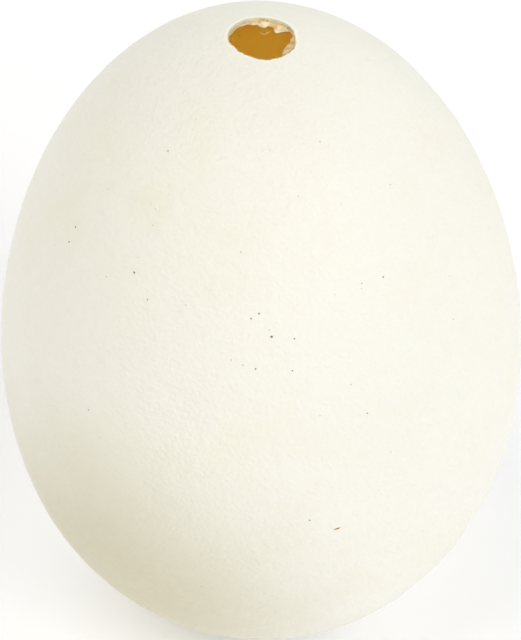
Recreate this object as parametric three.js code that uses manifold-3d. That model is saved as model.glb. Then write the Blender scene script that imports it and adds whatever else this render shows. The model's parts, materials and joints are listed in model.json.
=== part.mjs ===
// A blown goose egg: one thin, hollow shell with a drilled hole in its pointed end.
//
// Millimetres, +Z up along the egg's long axis. The origin is the centre of the small flat spot
// under the blunt end, on which the egg stands. The hole is at the top, a little off the axis.

import * as THREE from "three";
import { mergeVertices } from "three/addons/utils/BufferGeometryUtils.js";
import Module from "manifold-3d";

// Driving dimensions
const LENGTH = 79; // from pole to pole, before the flat spot and the hole take their share
const GIRTH = 59; // widest diameter, a little below the middle
const WALL = 0.6; // shell with the membranes that line it
const TAPER = 0.083; // how much fuller the blunt half is than the pointed half
const FULLNESS = 0.036; // how much fuller both ends are than an ellipsoid's
const FOOT_ANGLE = 0.136; // how far the flat spot reaches round from the blunt pole, in radians
const HOLE_DIAMETER = 7.5;
const HOLE_OFFSET = [0.75, 0.45]; // from the egg's axis to the hole's, along +X and +Y

// Facets
const SEGMENTS = 48; // around the axis, a multiple of 4 so that the girth is met on X and on Y
const RINGS = 28; // from the flat spot to the pointed pole
const HOLE_SEGMENTS = 32;

// Finish
const SHELL_COLOUR = 0xf6f3e6;
const SHELL_ROUGHNESS = 0.6;

const wasm = await Module();
wasm.setup();

// Angles from the blunt pole, 0, to the pointed pole, PI, one for each ring of facets
const ringAngles = Array.from({ length: RINGS + 1 }, (_, ring) =>
  THREE.MathUtils.lerp(FOOT_ANGLE, Math.PI, ring / RINGS));

// Radius of the egg's outline at an angle, before it is scaled to the girth
function plainRadius(angle) {
  const c = Math.cos(angle);
  return Math.sin(angle) * (1 + TAPER * c + FULLNESS * c * c);
}

const widest = Math.max(...ringAngles.map(plainRadius));

// Closed egg with a flat spot, standing inside the outer surface by the given inset all round
function eggGeometry(inset) {
  const halfLength = LENGTH / 2 - inset;
  const halfGirth = GIRTH / 2 - inset;
  const footDepth = (LENGTH / 2) * Math.cos(FOOT_ANGLE);
  const outline = ringAngles.map((angle) => new THREE.Vector2(
    halfGirth * plainRadius(angle) / widest,
    footDepth - halfLength * Math.cos(angle),
  ));
  const foot = new THREE.Vector2(0, outline[0].y);
  const pole = outline.at(-1).setX(0);
  const profile = [foot, ...outline.slice(0, -1), pole];
  return new THREE.LatheGeometry(profile, SEGMENTS).rotateX(Math.PI / 2);
}

// Straight bore through the pointed end, long enough to pass the wall on both sides
function boreGeometry() {
  const depth = LENGTH / 4;
  return new THREE.CylinderGeometry(HOLE_DIAMETER / 2, HOLE_DIAMETER / 2, depth, HOLE_SEGMENTS)
    .rotateX(Math.PI / 2)
    .translate(...HOLE_OFFSET, LENGTH);
}

// Solid from a closed geometry, without the empty triangles that a lathe makes at its poles
function toSolid(geometry) {
  geometry.deleteAttribute("normal");
  geometry.deleteAttribute("uv");
  const merged = mergeVertices(geometry);
  const corners = merged.index.array;
  const triVerts = [];
  for (let i = 0; i < corners.length; i += 3) {
    const [a, b, c] = corners.subarray(i, i + 3);
    if (a !== b && b !== c && c !== a) {
      triVerts.push(a, b, c);
    }
  }
  return new wasm.Manifold(new wasm.Mesh({
    numProp: 3,
    vertProperties: merged.attributes.position.array,
    triVerts: new Uint32Array(triVerts),
  }));
}

// Geometry from a solid
function toGeometry(solid) {
  const mesh = solid.getMesh();
  const geometry = new THREE.BufferGeometry();
  geometry.setAttribute("position", new THREE.BufferAttribute(mesh.vertProperties, 3));
  geometry.setIndex(new THREE.BufferAttribute(mesh.triVerts, 1));
  geometry.computeVertexNormals();
  return geometry;
}

// Hollow shell, open only at the drilled hole
function makeEggshell() {
  const outside = toSolid(eggGeometry(0));
  const hollow = toSolid(eggGeometry(WALL));
  const bore = toSolid(boreGeometry());
  const shell = outside.subtract(hollow).subtract(bore);
  const material = new THREE.MeshStandardMaterial({
    color: SHELL_COLOUR,
    roughness: SHELL_ROUGHNESS,
    metalness: 0,
  });
  const mesh = new THREE.Mesh(toGeometry(shell), material);
  mesh.name = "eggshell";
  return mesh;
}

const egg = new THREE.Group();
egg.add(makeEggshell());

export default egg;
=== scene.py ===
import json
import math

import bpy
import numpy as np
from mathutils import Matrix, Vector


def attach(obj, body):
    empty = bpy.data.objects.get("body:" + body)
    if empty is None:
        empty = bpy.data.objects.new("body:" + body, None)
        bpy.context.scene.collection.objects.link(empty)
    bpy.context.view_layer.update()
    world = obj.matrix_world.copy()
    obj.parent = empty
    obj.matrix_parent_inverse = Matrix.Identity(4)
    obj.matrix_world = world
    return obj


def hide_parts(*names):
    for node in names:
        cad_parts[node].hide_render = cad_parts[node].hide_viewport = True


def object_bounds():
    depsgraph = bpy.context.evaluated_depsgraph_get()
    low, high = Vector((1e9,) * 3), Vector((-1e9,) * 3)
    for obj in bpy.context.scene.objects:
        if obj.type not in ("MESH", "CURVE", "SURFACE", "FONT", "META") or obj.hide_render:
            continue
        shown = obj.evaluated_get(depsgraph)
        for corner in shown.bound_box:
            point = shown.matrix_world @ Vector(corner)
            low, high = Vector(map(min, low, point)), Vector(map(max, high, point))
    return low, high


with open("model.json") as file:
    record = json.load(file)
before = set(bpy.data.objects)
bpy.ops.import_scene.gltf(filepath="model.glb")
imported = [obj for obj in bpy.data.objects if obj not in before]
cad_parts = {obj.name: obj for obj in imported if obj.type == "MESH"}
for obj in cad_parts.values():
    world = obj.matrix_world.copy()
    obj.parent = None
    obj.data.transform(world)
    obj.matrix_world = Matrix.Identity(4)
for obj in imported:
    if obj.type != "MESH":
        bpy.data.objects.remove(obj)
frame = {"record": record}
CAD_LOW, CAD_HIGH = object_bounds()

bl_info = {
    "name": "Blown goose egg",
    "version": (1, 0, 0),
    "blender": (4, 5, 0),
    "location": "3D View > Sidebar > Goose egg",
    "description": "Makes a blown goose egg with a drilled hole, its torn lining and a plain studio",
    "category": "Add Mesh",
}

MM = 0.001
BODY = "root"
NODE = "eggshell"

# The egg's outline, as in the solid part: how much fuller the blunt half is, how much fuller both
# ends are than an ellipsoid's, and how far the flat spot reaches round from the blunt pole, in
# radians
TAPER = 0.083
FULLNESS = 0.036
FOOT_ANGLE = 0.136

# Middle of the hole, off the egg's axis, from the opening that the record gives
HOLE_BOX = next(o["box_m"] for o in frame["record"]["physics"]["openings"] if o["name"] == "hole")
HOLE_OFFSET = [(low + high) / 2 for low, high in zip(*HOLE_BOX)][:2]


# ---------------------------------------------------------------- settings

class EggshellSettings(bpy.types.PropertyGroup):
    """Sizes and colours of the shell."""

    girth: bpy.props.FloatProperty(
        name="Girth", description="Widest diameter of the egg", unit="LENGTH", precision=4,
        default=CAD_HIGH.x - CAD_LOW.x)
    height: bpy.props.FloatProperty(
        name="Height", description="From the flat spot to the top of the hole's rim", unit="LENGTH",
        precision=4, default=CAD_HIGH.z - CAD_LOW.z)
    wall: bpy.props.FloatProperty(
        name="Wall", description="Thickness of the shell with the membranes grown onto it",
        unit="LENGTH", precision=5, default=0.6 * MM)
    hole: bpy.props.FloatProperty(
        name="Hole", description="Mean diameter of the drilled hole", unit="LENGTH", precision=4,
        default=7.5 * MM)
    hole_offset: bpy.props.FloatVectorProperty(
        name="Hole offset", description="From the egg's axis to the hole's axis, along X and Y",
        unit="LENGTH", size=2, precision=5, default=HOLE_OFFSET)
    waviness: bpy.props.FloatProperty(
        name="Waviness", description="Height of the gentle lumps on the shell", unit="LENGTH",
        precision=5, default=0.022 * MM)
    colour: bpy.props.FloatVectorProperty(
        name="Colour", description="Chalky body of the shell", subtype="COLOR", size=3, min=0,
        max=1, default=(0.905, 0.895, 0.84))
    # Painted light: warm cream standing in for the light that passes through the cut wall
    painted_wall_glow: bpy.props.FloatVectorProperty(
        name="Cut wall", description="Wall of the drilled hole", subtype="COLOR", size=3, min=0,
        max=1, default=(1.0, 0.87, 0.64))
    # Brown used both for real dirt patches on the cut wall and for the line painted as shade on the front
    # of the lip
    dirt_and_lip_shade: bpy.props.FloatVectorProperty(
        name="Dirty wall", description="Brown patches on the wall and lip of the hole",
        subtype="COLOR", size=3, min=0, max=1, default=(0.52, 0.33, 0.13))
    # Painted highlight: a pale cream band round the hole, for the light its thin edge catches and lets
    # through
    wear_and_highlight: bpy.props.FloatVectorProperty(
        name="Worn edge", description="Chalk rubbed bare round the hole", subtype="COLOR", size=3,
        min=0, max=1, default=(0.99, 0.955, 0.84))
    stain: bpy.props.FloatVectorProperty(
        name="Stain", description="Faint yellow clouds and stains", subtype="COLOR", size=3, min=0,
        max=1, default=(0.87, 0.83, 0.66))
    # Painted shade: a darker, warmer tone painted low on one side, where the shell lies in shadow
    tan: bpy.props.FloatVectorProperty(
        name="Tan side", description="Warmer tone low on one side", subtype="COLOR", size=3, min=0,
        max=1, default=(0.72, 0.68, 0.53))
    speck: bpy.props.FloatVectorProperty(
        name="Specks", description="Dirt in the pores", subtype="COLOR", size=3, min=0, max=1,
        default=(0.07, 0.055, 0.035))
    flake: bpy.props.FloatVectorProperty(
        name="Flake", description="Rusty edge of the flake stuck to the shell", subtype="COLOR",
        size=3, min=0, max=1, default=(0.58, 0.31, 0.08))


class LiningSettings(bpy.types.PropertyGroup):
    """Sizes and colours of the membrane that lines the shell."""

    collar: bpy.props.FloatProperty(
        name="Collar", description="Width of the loosened membrane round the hole, under the shell",
        unit="LENGTH", precision=4, default=1.5 * MM)
    thickness: bpy.props.FloatProperty(
        name="Thickness", description="Thickness of the dried membrane", unit="LENGTH",
        precision=5, default=0.07 * MM)
    colour: bpy.props.FloatVectorProperty(
        name="Colour", description="Dried membrane in the hollow", subtype="COLOR", size=3, min=0,
        max=1, default=(0.90, 0.64, 0.32))
    depth: bpy.props.FloatVectorProperty(
        name="Glow depth", description="How far red, green and blue light pass through the wall",
        subtype="XYZ", size=3, min=0, default=(6.0 * MM, 2.4 * MM, 1.4 * MM))
    torn: bpy.props.FloatVectorProperty(
        name="Torn edge", description="Bleached shreds round the hole", subtype="COLOR", size=3,
        min=0, max=1, default=(1.0, 0.88, 0.62))
    brown: bpy.props.FloatVectorProperty(
        name="Brown patches", description="Dried patches on the shreds", subtype="COLOR", size=3,
        min=0, max=1, default=(0.66, 0.42, 0.14))
    # Painted highlight: a pale line along a real fold of membrane, for the light it catches
    fold: bpy.props.FloatVectorProperty(
        name="Fold", description="Pale thin fold on the back wall of the hollow", subtype="COLOR",
        size=3, min=0, max=1, default=(1.0, 0.81, 0.38))


class StudioSettings(bpy.types.PropertyGroup):
    """Camera, floor and light."""

    elevation: bpy.props.FloatProperty(
        name="Elevation", description="Height of the camera above the level", subtype="ANGLE",
        default=math.radians(39.5))
    roll: bpy.props.FloatProperty(
        name="Roll", description="Lean of the egg's top to the left in the picture",
        subtype="ANGLE", default=math.radians(1.19))
    girths_away: bpy.props.FloatProperty(
        name="Distance", description="From the camera to the egg's middle, in girths of the egg",
        default=10.0)
    fill: bpy.props.FloatProperty(
        name="Frame fill", description="Girth of the egg over the long side of the picture",
        subtype="FACTOR", default=0.8154)
    aim: bpy.props.FloatVectorProperty(
        name="Aim", description="From the egg's middle to the middle of the picture, across and up",
        unit="LENGTH", size=2, precision=5, default=(-0.055 * MM, -0.122 * MM))
    power: bpy.props.FloatProperty(
        name="Power", description="Power of the key light, which the others follow", unit="POWER",
        default=34.9)
    surround: bpy.props.FloatProperty(
        name="Surround", description="Brightness of the even pale surroundings", min=0, default=0.4)
    floor: bpy.props.FloatVectorProperty(
        name="Floor", description="Pale floor", subtype="COLOR", size=3, min=0, max=1,
        default=(0.94, 0.94, 0.98))
    floor_glow: bpy.props.FloatProperty(
        name="Floor glow", description="Light that comes up through the floor", min=0, default=0.11)


# ---------------------------------------------------------------- shape of the egg

# Angles from the blunt pole to the pointed pole, at which the outline is tabulated
ANGLES = np.linspace(0, np.pi, 6001)


def plain_radius(angle):
    """Radius of the outline before it is scaled: the sine of the angle from the blunt pole, times
    one plus the taper times its cosine plus the fullness times its cosine squared."""
    c = np.cos(angle)
    return np.sin(angle) * (1 + TAPER * c + FULLNESS * c * c)


PLAIN = plain_radius(ANGLES)
WIDEST = PLAIN.max()
UPPER = slice(PLAIN.argmax(), None)
# Shortest and longest wave of a ripple, over its size
WAVE_SPREAD = (1.2, 2.6)
# Radius at which the rings begin to lean towards the hole, over the girth
LEAN_START = 0.3


def pole_to_pole(shell):
    """Length of the whole egg. The height left by the flat spot and the hole is half the length
    times the sum of the cosines of the angles, from either pole, at which they cut the outline."""
    near = (shell.hole / 2 - math.hypot(*shell.hole_offset)) / (shell.girth / 2)
    rim_angle = math.asin(near * WIDEST / (1 - TAPER + FULLNESS))
    return 2 * shell.height / (math.cos(FOOT_ANGLE) + math.cos(rim_angle))


def flattened(height, level, soft=0.08 * MM):
    """The larger of height and level, with a parabola of half width soft where the two meet."""
    x = np.clip((height - level) / soft, -1, 1)
    return np.where(height > level + soft, height, level + soft * (x + 1) ** 2 / 4)


def outline(angle, depth, shell):
    """Radius and height of the surface that lies depth under the outside: the outline with both
    half axes shortened by depth, its lowest part flattened at a level of depth."""
    length = pole_to_pole(shell)
    radius = (shell.girth / 2 - depth) * plain_radius(angle) / WIDEST
    height = length / 2 * math.cos(FOOT_ANGLE) - (length / 2 - depth) * np.cos(angle)
    return radius, flattened(height, depth)


def angle_above(radius, depth, shell):
    """Angle on the pointed half at which the surface that lies depth under the outside has the
    given radius."""
    share = radius * WIDEST / (shell.girth / 2 - depth)
    return np.interp(-share, -PLAIN[UPPER], ANGLES[UPPER])


def smooth_step(x):
    """Rises from 0 to 1 as x does, level at both ends: three x squared minus two x cubed."""
    x = np.clip(x, 0, 1)
    return x * x * (3 - 2 * x)


def ripple(points, size, seed, waves=28):
    """Even bumps about size across, from roughly -2 to 2: a sum of sine waves in random
    directions, with random phases and with lengths spread about size."""
    rng = np.random.default_rng(seed)
    directions = rng.normal(size=(waves, 3))
    directions /= np.linalg.norm(directions, axis=1, keepdims=True)
    lengths = size * rng.uniform(*WAVE_SPREAD, waves)
    phases = rng.uniform(0, 2 * np.pi, waves)
    total = sum(
        np.sin(points @ way * (2 * np.pi / length) + phase)
        for way, length, phase in zip(directions, lengths, phases))
    return total * math.sqrt(2 / waves)


def ring_noise(turn, lumps, seed):
    """Ragged line round the hole, from roughly -2 to 2: a ripple of size one half along a circle
    whose length is the given number of lumps."""
    circle = np.stack([np.cos(turn), np.sin(turn), 0 * turn], -1) * lumps / (2 * np.pi)
    return ripple(circle, 0.5, seed, waves=20)


def around(turn, centre, half_width, edge=0.35):
    """1 within half_width degrees of centre and 0 well outside it, with soft ends of edge times
    half_width."""
    off = np.abs((np.degrees(turn) - centre + 180) % 360 - 180) / half_width
    return smooth_step((1 + edge - off) / edge)


def wall_points(turn, angle, depth, pull, edge, shell):
    """Points on the surface that lies depth under the outside. A ring starts on the egg's axis;
    pull, from 0 to 1, moves it onto the hole's axis and gives it the hole's edge, and the height
    follows from where that puts it."""
    radius, _ = outline(angle, depth, shell)
    ring = radius + pull * (edge - shell.hole / 2)
    x = ring * np.cos(turn) + pull * shell.hole_offset[0]
    y = ring * np.sin(turn) + pull * shell.hole_offset[1]
    moved = np.where(pull > 0, angle_above(np.hypot(x, y), depth, shell), angle)
    return np.stack([x, y, outline(moved, depth, shell)[1]], -1)


def pulled(angle, shell):
    """Share of the hole's place and shape that a ring takes: 0 over most of the egg, 1 within a
    band round the hole."""
    radii = np.array([LEAN_START * shell.girth, shell.hole / 2 + EDGE_BAND])
    far, near = angle_above(radii, 0, shell)
    return smooth_step((angle - far) / (near - far))


# How much the hole is drawn out into an oval, and twice the direction in which it is narrowest, in
# radians
OVAL, OVAL_TURN = 0.2 * MM, math.radians(32)
# The flat and the two corners that the drill left: direction and half width in degrees, height, and
# softness of the ends
DRILL_MARKS = ((230, 20, -0.13 * MM, 0.8), (38, 14, 0.14 * MM, 1.0), (174, 15, 0.12 * MM, 1.0))
# Ragged lines of the hole's edge: lumps, height and seed
EDGE_RAGS = ((30, 0.008 * MM, 11), (80, 0.005 * MM, 12))


def hole_edge(turn, shell):
    """Radius of the hole's edge: a circle, less a cosine of twice the direction, which makes it an
    oval, plus a flat and two corners from the drill and two fine ragged lines."""
    oval = OVAL * np.cos(2 * turn - OVAL_TURN)
    marks = sum(high * around(turn, centre, wide, soft) for centre, wide, high, soft in DRILL_MARKS)
    ragged = sum(high * ring_noise(turn, lumps, seed) for lumps, high, seed in EDGE_RAGS)
    return shell.hole / 2 - oval + marks + ragged


# Worn edge round the hole: mean width, how much that varies, and least width
WORN, WORN_VARIES, WORN_LEAST = 0.05 * MM, 0.3, 0.02 * MM
# Chips out of it: width, how high the ragged line rises before there is one, and power
CHIP, CHIP_START, CHIP_POWER = 0.06 * MM, 0.7, 0.7


def edge_bevel(turn):
    """Width of the bevel round the hole: a thin worn edge, whose width follows a ragged line, and a
    chip, by a power of the height, wherever another ragged line rises high enough."""
    wear_and_highlight = WORN * (1 + WORN_VARIES * ring_noise(turn, 50, 21))
    chips = CHIP * (ring_noise(turn, 20, 22) - CHIP_START).clip(0, None) ** CHIP_POWER
    return wear_and_highlight.clip(WORN_LEAST, None) + chips


# ---------------------------------------------------------------- meshes

def link_piece(name, points, faces):
    """New smooth-shaded object from points and faces."""
    mesh = bpy.data.meshes.new(name)
    mesh.from_pydata(points.tolist(), [], faces)
    mesh.polygons.foreach_set("use_smooth", np.ones(len(mesh.polygons), bool))
    mesh.update()
    piece = bpy.data.objects.new(name, mesh)
    bpy.context.scene.collection.objects.link(piece)
    return piece


def ring_numbers(rows, columns, first=0):
    """Number of each point of a stack of rings, and of the point beside it. A face that runs from
    here to beside and on to the next ring looks outwards where the rings run up the outside, with
    their points going anticlockwise from above."""
    here = first + np.arange(rows)[:, None] * columns + np.arange(columns)[None]
    beside = np.roll(here, -1, axis=1)
    return here, beside


def mesh_from_rings(name, rings, first, last):
    """Closed mesh from rings of points: quads between each ring and the next, and triangles to one
    point that closes it at either end."""
    rows, columns, _ = rings.shape
    here, beside = ring_numbers(rows, columns, 1)
    quads = np.stack([here[:-1], beside[:-1], beside[1:], here[1:]], -1).reshape(-1, 4)
    opening = np.stack([np.zeros(columns, int), beside[0], here[0]], -1)
    closing = np.stack([np.full(columns, rows * columns + 1), here[-1], beside[-1]], -1)
    points = np.concatenate([[first], rings.reshape(-1, 3), [last]])
    return link_piece(name, points, quads.tolist() + opening.tolist() + closing.tolist())


def ring_from_rings(name, rings):
    """Closed mesh from rings of points whose last ring joins the first, as round a collar."""
    rows, columns, _ = rings.shape
    here, beside = ring_numbers(rows, columns)
    quads = np.stack([here, beside, np.roll(beside, -1, 0), np.roll(here, -1, 0)], -1)
    quads = quads.reshape(-1, 4)
    return link_piece(name, rings.reshape(-1, 3), quads.tolist())


def paint(piece, name, values, *ends):
    """Stores one number for each point of a mesh made from rings, and for the points that close its
    ends, as an attribute that its material reads."""
    layer = piece.data.attributes.new(name, "FLOAT", "POINT")
    values = values.ravel() if not ends else np.concatenate([ends[:1], values.ravel(), ends[1:]])
    layer.data.foreach_set("value", values.astype(np.float32))


SHELL_COLUMNS = 360
OUTSIDE_RINGS = 208
INSIDE_RINGS = 34
# How much the rings crowd towards the flat spot and the hole
CROWDING = 0.035
# The band round the hole, and the rings of the hole's edge: how far out of its bevel they lie as a
# share of the band, how much of the bevel is still outside them, and how far down they are through
# the wall
EDGE_BAND = 0.4 * MM
BAND_OUT = np.array([1.0, 0.6, 0.3, 0.1, 0, 0, 0, 0, 0, 0, 0, 0, 0])
RIM_FLARE = np.array([1, 1, 1, 1, 1, 0.62, 0.3, 0.08, 0, 0, 0, 0, 0])
RIM_DEPTH = np.array([0, 0, 0, 0, 0, 0.03, 0.09, 0.18, 0.32, 0.5, 0.68, 0.85, 1])
# Roughness of the cut wall: height, lumps round the hole, and seed of its first ring
ROUGH, ROUGH_LUMPS, ROUGH_SEED = 0.02 * MM, 60, 31
# Lumps on the shell: size, share of the waviness, seed and number of waves
LUMPS = ((5.0 * MM, 0.6, 1, 28), (1.6 * MM, 0.4, 2, 40))
# Height that the lumps are cut off at, how low they may go, how far up from the flat spot they die
# out, and how much of the way to the hole is left when they begin to
LUMP_TOP, LUMP_LEAST = 2.0, -5
LUMP_FOOT, LUMP_END = 2 * MM, 0.03


def lumps(points, shell):
    """Height of the shell's gentle lumps, never above the true surface: two sizes of ripple, added
    and lowered by what they rarely pass."""
    wave = sum(share * ripple(points, size, seed, waves) for size, share, seed, waves in LUMPS)
    return shell.waviness * np.clip(wave - LUMP_TOP, LUMP_LEAST, 0)


def make_eggshell(shell):
    """The shell: up the outside from the flat spot, over the edge of the hole, through the wall and
    back down the inside, as rings of points round the egg's axis. The attribute edge is -1 over
    the outside, rises to 0 across the band round the hole, and to 1 down through the wall. The
    lumps die out at the flat spot and at the hole."""
    turn = np.linspace(0, 2 * np.pi, SHELL_COLUMNS, endpoint=False)[None]
    edge = hole_edge(turn, shell)
    bevel = edge_bevel(turn)

    top = float(angle_above(np.array(shell.hole / 2 + EDGE_BAND), 0, shell))
    spread = np.linspace(0, 1, OUTSIDE_RINGS + 1)[1:-1, None]
    angle = top * (spread - CROWDING * np.sin(2 * np.pi * spread))
    level = np.zeros_like(angle)
    outside = wall_points(turn, angle, level, pulled(angle, shell), edge + bevel, shell)

    out, flare, share = BAND_OUT[:, None], RIM_FLARE[:, None], RIM_DEPTH[:, None]
    depth = share * shell.wall
    rough = ROUGH * np.sin(np.pi * share) * np.concatenate(
        [ring_noise(turn, ROUGH_LUMPS, ROUGH_SEED + ring) for ring in range(len(share))])
    angle = angle_above(np.full_like(depth, shell.hole / 2), depth, shell)
    rim_edge = edge + flare * bevel + out * EDGE_BAND + rough
    rim = wall_points(turn, angle, depth, np.ones_like(depth), rim_edge, shell)

    top = float(angle_above(np.array(shell.hole / 2), shell.wall, shell))
    angle = top * np.linspace(1, 0, INSIDE_RINGS)[1:-1, None]
    depth = np.full_like(angle, shell.wall)
    inside = wall_points(turn, angle, depth, pulled(angle, shell), edge, shell)

    fade = smooth_step(outside[..., 2] / LUMP_FOOT) * smooth_step((1 - spread) / LUMP_END)
    away = outside - np.array([0, 0, shell.height / 2])
    away /= np.linalg.norm(away, axis=-1, keepdims=True)
    outside = outside + away * (fade * lumps(outside, shell))[..., None]

    rings = np.concatenate([outside, rim, inside])
    piece = mesh_from_rings("egg_shell", rings, (0, 0, 0), (0, 0, shell.wall))
    at_edge = np.concatenate(
        [np.full(len(outside), -1.0), RIM_DEPTH ** 0.5 - BAND_OUT, np.ones(len(inside))])
    paint(piece, "edge", np.repeat(at_edge[:, None], SHELL_COLUMNS, 1), -1, 1)
    in_hollow = np.arange(len(rings) - 1) >= len(outside) + len(rim) - 1
    ends = np.repeat([False, True], SHELL_COLUMNS)
    slots = np.concatenate([np.repeat(in_hollow, SHELL_COLUMNS), ends])
    piece.data.polygons.foreach_set("material_index", slots.astype(np.int32))
    return piece


TORN_COLUMNS = 720
COLLAR_RINGS = 16
SHRED_RINGS = 12
# Smoothing of the torn edge: columns to either side, and the spread of a bell curve over them
BLUR_REACH, BLUR_SPREAD = 9, 3.0
# The torn edge's ragged lines: lumps, share and seed, and their height as a least plus a share of the
# membrane's reach, which is never less than the last
TORN_RAGS = ((28, 0.6, 41), (75, 0.4, 42))
RAG_LEAST, RAG_SHARE = 0.012 * MM, 0.025
REACH_LEAST = 0.01 * MM
# How far a shred hangs down at its end, over its reach, by which power of the way along, and how
# much that wavers, with how many lumps and which seed
HANG, HANG_POWER = 0.5, 1.6
WAVER, WAVER_LUMPS, WAVER_SEED = 0.06 * MM, 14, 43
# The torn edge of the lining: direction in degrees, anticlockwise from +X, how many millimetres the
# membrane still reaches into the hole there, and how brown it is
TORN_EDGE = (
    (-58, 0.03, 0.3), (-51, 0.12, 0.4), (-43, 0.90, 0.4), (-32, 1.15, 0.5), (-18, 1.12, 0.6),
    (-7, 0.90, 0.7), (2, 0.50, 0.6), (12, 0.40, 0.4), (20, 0.10, 0.3), (33, 0.06, 0.2),
    (43, 0.45, 0.2), (54, 1.05, 0.1), (61, 0.95, 0.4), (68, 0.50, 0.7), (77, 0.52, 0.1),
    (86, 0.85, 0.0), (92, 0.80, 0.6), (98, 0.38, 0.2), (108, 0.42, 0.6), (114, 0.08, 0.2),
    (126, 0.14, 0.2), (139, 0.05, 0.1), (152, 0.12, 0.3), (170, 0.05, 0.5), (195, 0.03, 0.6),
    (250, 0.03, 0.6),
)


def torn_reach(turn):
    """How far the torn edge of the lining stands into the hole: the listed reaches, joined
    smoothly all round, and a fine ragged line that is stronger on the longer shreds."""
    bearings, reaches, _ = np.array(TORN_EDGE).T
    sharp = np.interp(np.degrees(turn[0]), bearings, reaches * MM, period=360)
    bell = np.exp(-0.5 * (np.arange(-BLUR_REACH, BLUR_REACH + 1) / BLUR_SPREAD) ** 2)
    padded = np.pad(sharp, BLUR_REACH, "wrap")
    smooth = np.convolve(padded, bell / bell.sum(), "valid")[None]
    ragged = sum(share * ring_noise(turn, lumps, seed) for lumps, share, seed in TORN_RAGS)
    return (smooth + (RAG_LEAST + RAG_SHARE * smooth) * ragged).clip(REACH_LEAST, None)


def make_torn_lining(shell, lining):
    """The torn edge of the membrane: a collar on the wall of the hollow that runs up to the hole,
    out along its shreds, and back down its own inner face. The attribute torn is 0 on the collar
    and rises along the shreds to their reach in millimetres; brown is as listed."""
    turn = np.linspace(0, 2 * np.pi, TORN_COLUMNS, endpoint=False)[None]
    edge = hole_edge(turn, shell)
    reach = torn_reach(turn)

    def collar(depth):
        """From the collar's lower edge up to the hole, depth under the outside."""
        ends = np.array([shell.hole / 2 + lining.collar, shell.hole / 2])
        low, high = angle_above(ends, depth, shell)
        angle = np.linspace(low, high, COLLAR_RINGS)[:, None]
        level = np.full_like(angle, depth)
        return wall_points(turn, angle, level, pulled(angle, shell), edge, shell)

    def shred(depth, along):
        """From the hole's edge to the torn edge, hanging down by a power of the way along."""
        hang = HANG * along ** HANG_POWER * reach
        waver = WAVER * along * ring_noise(turn, WAVER_LUMPS, WAVER_SEED)
        droop = depth + hang + waver
        angle = angle_above(np.full_like(droop, shell.hole / 2), depth, shell)
        return wall_points(turn, angle, droop, np.ones_like(droop), edge - along * reach, shell)

    along = np.linspace(0, 1, SHRED_RINGS)[1:, None]
    outer = shell.wall - lining.thickness / 2
    inner = shell.wall + lining.thickness / 2
    rings = np.concatenate(
        [collar(outer), shred(outer, along), shred(inner, along[::-1]), collar(inner)[::-1]])
    piece = ring_from_rings("torn_lining", rings)
    flat = np.zeros((COLLAR_RINGS, 1))
    way = np.concatenate([flat, along, along[::-1], flat])
    paint(piece, "torn", way * (reach / MM).clip(0, 1))
    bearings, _, browns = np.array(TORN_EDGE).T
    brown = np.interp(np.degrees(turn), bearings, browns, period=360)
    paint(piece, "brown", np.repeat(brown, len(rings), 0))
    return piece


# ---------------------------------------------------------------- materials

class Nodes:
    """Short calls for building a node tree."""

    def __init__(self, name):
        self.material = bpy.data.materials.new(name)
        self.material.use_nodes = True
        self.tree = self.material.node_tree
        self.tree.nodes.clear()
        self.output = self.tree.nodes.new("ShaderNodeOutputMaterial")

    def put(self, kind, settings=None, **sockets):
        """Adds a node, sets its settings, and sets or links its inputs, by name or, after an
        underscore, by number."""
        node = self.tree.nodes.new("ShaderNode" + kind)
        for key, value in (settings or {}).items():
            setattr(node, key, value)
        for key, value in sockets.items():
            place = int(key[1:]) if key[0] == "_" else key.replace("_", " ")
            self.fill(node.inputs[place], value)
        return node

    def fill(self, socket, value):
        """Links a socket to another node's output, or sets it to a value."""
        if isinstance(value, bpy.types.NodeSocket):
            self.tree.links.new(value, socket)
        else:
            socket.default_value = value

    def shade(self, **sockets):
        """Adds the surface shader and links it to the output."""
        shader = self.put("BsdfPrincipled", **sockets)
        self.tree.links.new(shader.outputs[0], self.output.inputs["Surface"])

    def math(self, operation, a, b=0.0, clamp=False):
        """One number from one or two others."""
        settings = {"operation": operation, "use_clamp": clamp}
        return self.put("Math", settings, _0=a, _1=b).outputs[0]

    def times(self, *factors):
        """Product of several numbers."""
        product = factors[0]
        for factor in factors[1:]:
            product = self.math("MULTIPLY", product, factor)
        return product

    def distance(self, where, point):
        """Distance from a point."""
        return self.put("VectorMath", {"operation": "DISTANCE"}, _0=where, _1=point).outputs["Value"]

    def dot(self, first, second):
        """Dot product of two vectors."""
        settings = {"operation": "DOT_PRODUCT"}
        return self.put("VectorMath", settings, _0=first, _1=second).outputs["Value"]

    def noise(self, where, size, detail=2.0, roughness=0.5, distortion=0.0):
        """Soft noise from 0 to 1, about size across, with detail finer octaves."""
        node = self.put("TexNoise", Vector=where, Scale=1 / size, Detail=detail,
                        Roughness=roughness, Distortion=distortion)
        return node.outputs["Fac"]

    def near(self, where, point, sway, size):
        """Distance from a point, which sways by a noise of the given size."""
        return self.math("ADD", self.distance(where, point), self.times(self.noise(where, size), sway))

    def steps(self, value, low, high, from_value=0.0, to_value=1.0):
        """Goes smoothly from from_value to to_value as value goes from low to high."""
        node = self.put("MapRange", {"interpolation_type": "SMOOTHSTEP"}, Value=value,
                        From_Min=low, From_Max=high, To_Min=from_value, To_Max=to_value)
        return node.outputs[0]

    def blend(self, share, first, second):
        """Colour between two others, either of which may be three numbers or a node's output."""
        node = self.put("Mix", {"data_type": "RGBA", "clamp_factor": True}, _0=share)
        for number, colour in ((6, first), (7, second)):
            is_output = isinstance(colour, bpy.types.NodeSocket)
            self.fill(node.inputs[number], colour if is_output else (*colour, 1))
        return node.outputs[2]


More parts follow.
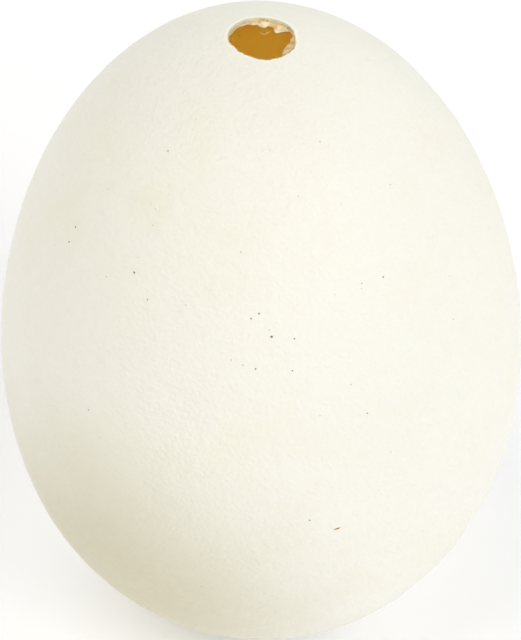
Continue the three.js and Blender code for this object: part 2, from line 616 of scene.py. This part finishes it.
# The pores with most dirt in them: degrees from the front towards the right, height and radius in
# millimetres, and how dark each is
PORES = (
    (2.5, 57.4, 0.14, 1.0), (-0.5, 59.8, 0.12, 0.9), (-2.5, 59.3, 0.11, 0.8), (8.0, 57.0, 0.10, 0.9),
    (2.0, 58.1, 0.07, 0.5), (-1.5, 54.0, 0.11, 1.0), (-4.5, 54.4, 0.11, 0.6), (7.0, 53.6, 0.10, 0.9),
    (5.0, 51.2, 0.07, 0.5), (5.0, 61.3, 0.07, 0.5), (-5.5, 65.6, 0.08, 0.7), (34.0, 60.8, 0.12, 0.9),
    (23.5, 47.0, 0.10, 0.8), (9.5, 34.4, 0.11, 0.8), (24.0, 61.8, 0.06, 0.4), (14.0, 70.0, 0.07, 0.5),
    (28.0, 68.5, 0.08, 0.5), (29.0, 73.5, 0.08, 0.5), (-35.5, 61.6, 0.12, 1.0), (-43.5, 59.9, 0.08, 0.6),
    (-30.0, 59.5, 0.10, 0.8), (-60.0, 62.1, 0.12, 1.0), (-60.0, 60.4, 0.12, 0.9), (-65.0, 58.8, 0.08, 0.7),
    (-34.0, 66.4, 0.09, 0.7), (-35.0, 67.8, 0.08, 0.6), (-39.5, 72.4, 0.10, 0.9), (-41.5, 44.5, 0.10, 0.8),
    (-46.0, 21.0, 0.09, 0.7), (-13.0, 40.5, 0.07, 0.5), (-15.0, 23.0, 0.08, 0.5), (-34.0, 53.0, 0.07, 0.4),
    (25.0, 36.5, 0.07, 0.5), (-50.0, 37.0, 0.08, 0.6), (51.0, 52.5, 0.08, 0.7),
)
# A listed pore is dark up to the first share of its radius, and clean from the second
PORE_RADII = (0.5, 1.3)
# The faint pores all over: size of their cells, largest radius over that size, and greatest darkness
CELL, CELL_PORE, CELL_DARK = 1.6 * MM, 0.055, 0.55
# How much of the specks' colour covers the shell's
SPECK_COVER = 0.9
# The flake: degrees and height in millimetres of its middle, half its length and width, its tilt,
# the size and strength of its raggedness, and where its rusty edge and dark core end
FLAKE_BEARING, FLAKE_HEIGHT = 15.5, 32.4
FLAKE_LONG, FLAKE_SHORT, FLAKE_TILT = 0.45 * MM, 0.13 * MM, math.radians(11)
FLAKE_RAG, FLAKE_RAGGED = 0.12 * MM, 0.5
FLAKE_EDGE, FLAKE_CORE, FLAKE_COVER = (0.9, 1.5), (0.5, 0.95), 0.75
# The yellowish streak and the painted shade, a darker warmer tone low on one side: degrees and height in
# millimetres of the middle, how much the distance from it sways, by a noise of what size, and where the
# tone begins to fade and is gone
STREAK = ((-37, 68), 3 * MM, 2.5 * MM, 1.5 * MM, 6 * MM)
PAINTED_SHADE_SIDE = ((-38, 18), 6 * MM, 9 * MM, 8 * MM, 34 * MM)
STREAK_COVER = 0.35
# Sizes of the clouds, of the mottle and of the dirt on the cut wall
CLOUD, MOTTLE, DIRT = 11 * MM, 1.3 * MM, 0.8 * MM
# Values of the attribute edge between which each thing comes or goes: the painted highlight round the
# hole, the brown line painted as shade on the lip, the wall painted creamier for light passing through it,
# light scattered under the surface, and the specks
RIM_HIGHLIGHT, LIP_SHADE, CUT_WALL, SCATTER, SPECKED = (-0.95, -0.4), (-0.35, -0.2), (0.35, 0.9), (-0.1, 0.4), (0, 0.3)
# The brown line painted as shade along the front of the lip: where it fades, from front to back, and how
# strong it is
LIP_SHADE_FADE, LIP_SHADE_COVER = (-1.5 * MM, 0.5 * MM), 0.9
# The fine relief: sizes of the orange peel, of the grain, of the wrinkles and of the patches that hold
# them, the shares of the last two next to the peel, those of pores and flake, and its height
PEEL, GRAIN, WRINKLE, PATCH = 1.1 * MM, 0.45 * MM, 0.7 * MM, 16 * MM
GRAIN_SHARE, WRINKLE_SHARE, PORE_DEPTH, FLAKE_RISE = 0.75, 0.3, 0.5, 0.4
RELIEF = 0.13 * MM
# Way that the wrinkles run, across the front of the egg and down to the right, and how much they are
# drawn out along it
WRINKLE_WAY = Vector((0.66, -0.35, -0.66)).normalized()
WRINKLE_DRAWN = 0.8


def surface_place(bearing, height, shell):
    """Point on the outside at a bearing in degrees, from the front towards the right, and a height
    in millimetres."""
    radius, level = outline(ANGLES, 0, shell)
    out = float(np.interp(height * MM, level, radius))
    turn = math.radians(bearing)
    return Vector((out * math.sin(turn), -out * math.cos(turn), height * MM))


def pore_shares(n, where, shell):
    """Share of dirt at a place: the listed pores, and small seeded ones all over, each the middle of
    a cell, with a random radius and darkness."""
    cells = n.put("TexVoronoi", {"feature": "F1"}, Vector=where, Scale=1 / CELL)
    chance = n.put("SeparateColor", Color=cells.outputs["Color"])
    size = n.times(chance.outputs[0], CELL_PORE)
    dark = n.steps(chance.outputs[1], 0.2, 1.0, 0.0, CELL_DARK)
    shares = n.times(n.math("LESS_THAN", cells.outputs["Distance"], size), dark)
    whole, gone = PORE_RADII
    for bearing, height, radius, dark in PORES:
        off = n.distance(where, surface_place(bearing, height, shell))
        spot = n.steps(off, whole * radius * MM, gone * radius * MM, dark, 0.0)
        shares = n.math("MAXIMUM", shares, spot)
    return shares


def flake_measure(n, where, shell):
    """0 in the middle of the flake and about 1 at its ragged edge: the distance from its middle,
    with the part along it divided by half its length and the part across by half its width, plus
    a noise."""
    turn = math.radians(FLAKE_BEARING)
    along = Vector((math.cos(turn), math.sin(turn), 0)) * math.cos(FLAKE_TILT)
    along.z = math.sin(FLAKE_TILT)
    middle = surface_place(FLAKE_BEARING, FLAKE_HEIGHT, shell)
    off = n.put("VectorMath", {"operation": "SUBTRACT"}, _0=where, _1=middle).outputs[0]
    ahead = n.math("POWER", n.math("ABSOLUTE", n.dot(off, along)), 2.0)
    beside = n.times(n.math("SUBTRACT", n.dot(off, off), ahead), FLAKE_SHORT ** -2)
    reach = n.math("SQRT", n.math("ADD", beside, n.times(ahead, FLAKE_LONG ** -2)))
    return n.math("ADD", reach, n.times(n.noise(where, FLAKE_RAG), FLAKE_RAGGED))


def tone_share(n, where, tone, shell):
    """1 round the middle of a tone and 0 where it is gone, by the swaying distance from it."""
    middle, sway, size, whole, gone = tone
    return n.steps(n.near(where, surface_place(*middle, shell), sway, size), whole, gone, 1.0, 0.0)


def shell_colour(n, where, edge, specks, flake, shell):
    """Faintly clouded and mottled cream with a yellowish streak and painted shade low on one side, a
    painted highlight round the hole, a brown line painted as shade on the front of its lip, a wall painted
    creamier for light passing through it and dirty, specks and one flake."""
    clouds = n.steps(n.noise(where, CLOUD, 3.0), 0.45, 0.75, 0.0, 0.22)
    streak = n.times(tone_share(n, where, STREAK, shell), STREAK_COVER)
    colour = n.blend(n.math("MAXIMUM", clouds, streak), tuple(shell.colour), tuple(shell.stain))
    # Painted shade: darker and warmer low on one side, where the shell lies in shadow
    colour = n.blend(tone_share(n, where, PAINTED_SHADE_SIDE, shell), colour, tuple(shell.tan))
    mottle = n.steps(n.noise(where, MOTTLE, 3.0, 0.6), 0.3, 0.75, 0.0, 0.10)
    colour = n.blend(mottle, colour, tuple(shell.stain))

    # Painted highlight: a pale band round the hole, for the light its thin edge catches and lets through
    colour = n.blend(n.steps(edge, *RIM_HIGHLIGHT), colour, tuple(shell.wear_and_highlight))
    # Painted shade: a brown line on the lip of the hole, on its front only
    front = n.steps(n.put("SeparateXYZ", Vector=where).outputs["Y"], *LIP_SHADE_FADE, LIP_SHADE_COVER, 0.0)
    colour = n.blend(n.times(front, n.steps(edge, *LIP_SHADE)), colour, tuple(shell.dirt_and_lip_shade))
    dirt = n.steps(n.noise(where, DIRT, 3.0, 0.6), 0.5, 0.75)
    # The cut wall: warm cream painted for light passing through it, with real dirt patches on it
    wall = n.blend(dirt, tuple(shell.painted_wall_glow), tuple(shell.dirt_and_lip_shade))
    colour = n.blend(n.steps(edge, *CUT_WALL), colour, wall)

    colour = n.blend(n.times(specks, SPECK_COVER), colour, tuple(shell.speck))
    colour = n.blend(n.steps(flake, *FLAKE_EDGE, 1.0, 0.0), colour, tuple(shell.flake))
    return n.blend(n.steps(flake, *FLAKE_CORE, FLAKE_COVER, 0.0), colour, tuple(shell.speck))


def shell_relief(n, where, specks, flake):
    """Height of the fine relief: orange peel and grain, wrinkles in patches, pits at the specks and
    a rise at the flake. Wrinkles are a noise read at a place pressed together along their way."""
    along = n.put("VectorMath", {"operation": "SCALE"}, _0=WRINKLE_WAY, Scale=n.dot(where, WRINKLE_WAY))
    drawn = Vector((1, 1, 1)) * -WRINKLE_DRAWN
    pressed = n.put("VectorMath", {"operation": "MULTIPLY_ADD"}, _0=along.outputs[0], _1=drawn, _2=where)
    wrinkles = n.noise(pressed.outputs[0], WRINKLE, 2.0)
    patches = n.steps(n.noise(where, PATCH, 1.0), 0.4, 0.65)
    height = n.math("ADD", n.noise(where, PEEL, 2.0), n.times(n.noise(where, GRAIN, 1.0), GRAIN_SHARE))
    height = n.math("ADD", height, n.times(wrinkles, patches, WRINKLE_SHARE))
    height = n.math("SUBTRACT", height, n.times(specks, PORE_DEPTH))
    return n.math("ADD", height, n.times(n.steps(flake, *FLAKE_EDGE, 1.0, 0.0), FLAKE_RISE))


def shell_material(shell):
    """Chalky shell with a soft sheen, whose cut wall scatters light under its surface."""
    n = Nodes("goose_eggshell")
    where = n.put("TexCoord").outputs["Object"]
    edge = n.put("Attribute", {"attribute_name": "edge"}).outputs["Fac"]
    specks = n.times(pore_shares(n, where, shell), n.steps(edge, *SPECKED, 1.0, 0.0))
    flake = flake_measure(n, where, shell)
    relief = shell_relief(n, where, specks, flake)
    bump = n.put("Bump", Strength=1.0, Distance=RELIEF, Height=relief)
    n.shade(Base_Color=shell_colour(n, where, edge, specks, flake, shell), Roughness=0.55, IOR=1.45,
            Specular_IOR_Level=0.4, Normal=bump.outputs[0],
            Subsurface_Weight=n.steps(edge, *SCATTER, 0.0, 0.35), Subsurface_Radius=(1.0, 0.7, 0.4),
            Subsurface_Scale=0.5 * MM)
    return n.material


# The highlight painted along a fold on the back wall of the hollow: its lowest point, across and up, how
# fast it rises to both sides, how far above and below its line it is whole and gone, the middle of its
# length from the lowest point, and how far from there it is whole and gone
FOLD_X, FOLD_Z, FOLD_RISE = 1.0 * MM, 62.8 * MM, 1.2
FOLD_LINE = (0.08 * MM, 0.28 * MM)
FOLD_MIDDLE, FOLD_ENDS = 0.15 * MM, (0.25 * MM, 0.95 * MM)
# The dark spot beside it: its place, and how far from there it is whole and gone
SPOT, SPOT_RADII, SPOT_COVER = Vector((-1.8, 21.9, 62.8)) * MM, (0.1 * MM, 0.25 * MM), 0.8
# Size and height of the veins
VEIN, VEIN_RELIEF = 2.5 * MM, 0.03 * MM


def fold_highlight_share(n, where):
    """Share of the highlight painted along the fold at a place: 1 within a soft line whose height rises
    evenly to both sides of its lowest point, between soft ends, on the back wall of the hollow."""
    place = n.put("SeparateXYZ", Vector=where)
    across = n.math("SUBTRACT", place.outputs["X"], FOLD_X)
    rise = n.times(n.math("ABSOLUTE", across), FOLD_RISE)
    above = n.math("SUBTRACT", n.math("SUBTRACT", place.outputs["Z"], FOLD_Z), rise)
    line = n.steps(n.math("ABSOLUTE", above), *FOLD_LINE, 1.0, 0.0)
    from_middle = n.math("ABSOLUTE", n.math("SUBTRACT", across, FOLD_MIDDLE))
    ends = n.steps(from_middle, *FOLD_ENDS, 1.0, 0.0)
    back = n.math("GREATER_THAN", place.outputs["Y"], 0.0)
    return n.times(line, ends, back)


def hollow_material(lining):
    """Dried membrane grown onto the inside of the shell, which glows golden brown as light comes
    through the wall, with a highlight painted as a pale line along a thin fold, where light also scatters
    further, and a dark spot on its back wall."""
    n = Nodes("hollow_membrane")
    where = n.put("TexCoord").outputs["Object"]
    veins = n.noise(where, VEIN, 4.0, distortion=0.6)
    bump = n.put("Bump", Strength=0.5, Distance=VEIN_RELIEF, Height=veins)
    fold = fold_highlight_share(n, where)
    # Painted highlight: pale along the fold, for the light it catches; the fold's share also makes light
    # scatter further there
    colour = n.blend(fold, tuple(lining.colour), tuple(lining.fold))
    spot = n.steps(n.distance(where, SPOT), *SPOT_RADII, SPOT_COVER, 0.0)
    colour = n.blend(spot, colour, tuple(lining.brown))
    n.shade(Base_Color=colour, Roughness=0.5, Normal=bump.outputs[0], Subsurface_Weight=1.0,
            Subsurface_Radius=tuple(lining.depth), Subsurface_Scale=n.math("ADD", fold, 1.0))
    return n.material


# The shreds: value of the attribute torn by which they are bleached, size of the brown patches and of
# the creases, and height of the creases
BLEACHED = (0, 0.15)
SHRED_PATCH, CREASE, CREASE_RELIEF = 0.7 * MM, 0.7 * MM, 0.05 * MM


def torn_material(lining):
    """Torn membrane: golden brown on the wall of the hollow, bleached along its shreds, with brown
    patches and fine creases."""
    n = Nodes("torn_membrane")
    where = n.put("TexCoord").outputs["Object"]
    torn = n.put("Attribute", {"attribute_name": "torn"}).outputs["Fac"]
    colour = n.blend(n.steps(torn, *BLEACHED), tuple(lining.colour), tuple(lining.torn))
    brown = n.put("Attribute", {"attribute_name": "brown"}).outputs["Fac"]
    patches = n.steps(n.noise(where, SHRED_PATCH, 3.0), 0.3, 0.75, -0.25, 0.5)
    colour = n.blend(n.math("ADD", patches, brown, clamp=True), colour, tuple(lining.brown))
    creases = n.noise(where, CREASE, 4.0, distortion=1.5)
    bump = n.put("Bump", Strength=1.0, Distance=CREASE_RELIEF, Height=creases)
    n.shade(Base_Color=colour, Roughness=0.55, Normal=bump.outputs[0])
    return n.material


def floor_material(studio):
    """Plain pale matt floor, lit a little from below."""
    n = Nodes("pale_floor")
    n.shade(Base_Color=(*studio.floor, 1), Roughness=0.9, Emission_Strength=studio.floor_glow)
    return n.material


# ---------------------------------------------------------------- studio

# Soft square lights: degrees from the front towards the right, elevation, share of the key light's
# power, and colour
LIGHTS = (
    ("key", 45, 35, 1.0, (1.0, 1.0, 0.94)),
    ("high_left", -60, 65, 0.598, (0.97, 0.93, 0.95)),
    ("left", -60, 35, 0.195, (1.0, 0.94, 0.25)),
    ("back_left", -135, 20, 0.299, (0.99, 1.0, 0.95)),
    ("back", 180, 20, 0.155, (0.84, 1.0, 0.9)),
    ("back_right", 135, 20, 0.368, (1.0, 0.96, 0.79)),
)
LIGHT_SIZE = 1.8
LIGHT_DISTANCE = 2.8
FLOOR_RADIUS = 3.0
FLOOR_CORNERS = 96
NEAR_CLIP, FAR_CLIP = 0.01, 20


def make_camera(shell, studio):
    """Camera in front of the egg and above it, rolled a little, aimed beside the egg's middle."""
    lift, roll = studio.elevation, studio.roll
    back = Vector((0, -math.cos(lift), math.sin(lift)))
    right = Vector((1, 0, 0))
    up = back.cross(right)
    across = math.cos(roll) * right - math.sin(roll) * up
    over = back.cross(across)
    middle = Vector((0, 0, pole_to_pole(shell) / 2 * math.cos(FOOT_ANGLE)))
    aim = middle + studio.aim[0] * across + studio.aim[1] * over
    data = bpy.data.cameras.new("camera")
    data.lens = data.sensor_width * studio.girths_away * studio.fill
    data.clip_start, data.clip_end = NEAR_CLIP, FAR_CLIP
    camera = bpy.data.objects.new("camera", data)
    camera.matrix_world = Matrix((across, over, back)).transposed().to_4x4()
    camera.location = aim + back * shell.girth * studio.girths_away
    bpy.context.scene.collection.objects.link(camera)
    bpy.context.scene.camera = camera


def make_light(name, bearing, elevation, power, colour, target):
    """Square soft light at a bearing, from the front towards the right, that looks at the target."""
    data = bpy.data.lights.new(name, "AREA")
    data.energy, data.size, data.color = power, LIGHT_SIZE, colour
    light = bpy.data.objects.new(name, data)
    turn, lift = math.radians(bearing), math.radians(elevation)
    away = Vector((math.sin(turn) * math.cos(lift), -math.cos(turn) * math.cos(lift), math.sin(lift)))
    light.location = target + away * LIGHT_DISTANCE
    light.rotation_mode = "QUATERNION"
    light.rotation_quaternion = away.to_track_quat("Z", "Y")
    light.visible_camera = False
    bpy.context.scene.collection.objects.link(light)


def make_floor(studio):
    """Large round floor, level with the flat spot."""
    turn = np.linspace(0, 2 * np.pi, FLOOR_CORNERS, endpoint=False)
    rim = FLOOR_RADIUS * np.stack([np.cos(turn), np.sin(turn), 0 * turn], -1)
    mesh = bpy.data.meshes.new("floor")
    mesh.from_pydata(rim.tolist(), [], [list(range(len(turn)))])
    mesh.materials.append(floor_material(studio))
    floor = bpy.data.objects.new("floor", mesh)
    bpy.context.scene.collection.objects.link(floor)


def make_surround(studio):
    """Even pale surroundings."""
    world = bpy.data.worlds.new("surround")
    world.use_nodes = True
    sky = world.node_tree.nodes["Background"]
    sky.inputs["Color"].default_value = (1, 1, 1, 1)
    sky.inputs["Strength"].default_value = studio.surround
    bpy.context.scene.world = world


# ---------------------------------------------------------------- operators and panel

class GOOSEEGG_OT_shell(bpy.types.Operator):
    """Make the shell with its drilled hole"""

    bl_idname = "gooseegg.shell"
    bl_label = "Make shell"

    def execute(self, context):
        settings = context.scene.gooseegg_shell
        piece = make_eggshell(settings)
        piece.data.materials.append(shell_material(settings))
        piece.data.materials.append(hollow_material(context.scene.gooseegg_lining))
        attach(piece, BODY)
        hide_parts(NODE)
        return {"FINISHED"}


class GOOSEEGG_OT_lining(bpy.types.Operator):
    """Make the torn edge of the membrane, round the hole"""

    bl_idname = "gooseegg.lining"
    bl_label = "Make lining"

    def execute(self, context):
        settings = context.scene.gooseegg_lining
        piece = make_torn_lining(context.scene.gooseegg_shell, settings)
        piece.data.materials.append(torn_material(settings))
        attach(piece, BODY)
        return {"FINISHED"}


class GOOSEEGG_OT_studio(bpy.types.Operator):
    """Make the floor, the lights and the camera"""

    bl_idname = "gooseegg.studio"
    bl_label = "Make studio"

    def execute(self, context):
        shell, studio = context.scene.gooseegg_shell, context.scene.gooseegg_studio
        make_camera(shell, studio)
        make_floor(studio)
        make_surround(studio)
        target = Vector((0, 0, shell.height / 2))
        for name, bearing, elevation, share, colour in LIGHTS:
            make_light(name, bearing, elevation, studio.power * share, colour, target)
        context.scene.view_settings.view_transform = "Standard"
        return {"FINISHED"}


class GOOSEEGG_PT_panel(bpy.types.Panel):
    """Lists the pieces and their settings"""

    bl_idname = "GOOSEEGG_PT_panel"
    bl_label = "Goose egg"
    bl_space_type = "VIEW_3D"
    bl_region_type = "UI"
    bl_category = "Goose egg"

    def draw(self, context):
        for operator, name in PIECES:
            box = self.layout.box()
            settings = getattr(context.scene, name)
            for key in settings.__annotations__:
                box.prop(settings, key)
            box.operator(operator.bl_idname)


PIECES = (
    (GOOSEEGG_OT_shell, "gooseegg_shell"),
    (GOOSEEGG_OT_lining, "gooseegg_lining"),
    (GOOSEEGG_OT_studio, "gooseegg_studio"),
)
SETTINGS = (
    (EggshellSettings, "gooseegg_shell"),
    (LiningSettings, "gooseegg_lining"),
    (StudioSettings, "gooseegg_studio"),
)


def register():
    """Registers the settings, the operators and the panel."""
    for group, name in SETTINGS:
        bpy.utils.register_class(group)
        setattr(bpy.types.Scene, name, bpy.props.PointerProperty(type=group))
    for operator, _ in PIECES:
        bpy.utils.register_class(operator)
    bpy.utils.register_class(GOOSEEGG_PT_panel)


def unregister():
    """Takes them away again, in reverse order."""
    bpy.utils.unregister_class(GOOSEEGG_PT_panel)
    for operator, _ in reversed(PIECES):
        bpy.utils.unregister_class(operator)
    for group, name in reversed(SETTINGS):
        delattr(bpy.types.Scene, name)
        bpy.utils.unregister_class(group)


def main():
    """Makes everything."""
    register()
    bpy.ops.gooseegg.shell()
    bpy.ops.gooseegg.lining()
    bpy.ops.gooseegg.studio()


if __name__ == "__main__":
    main()
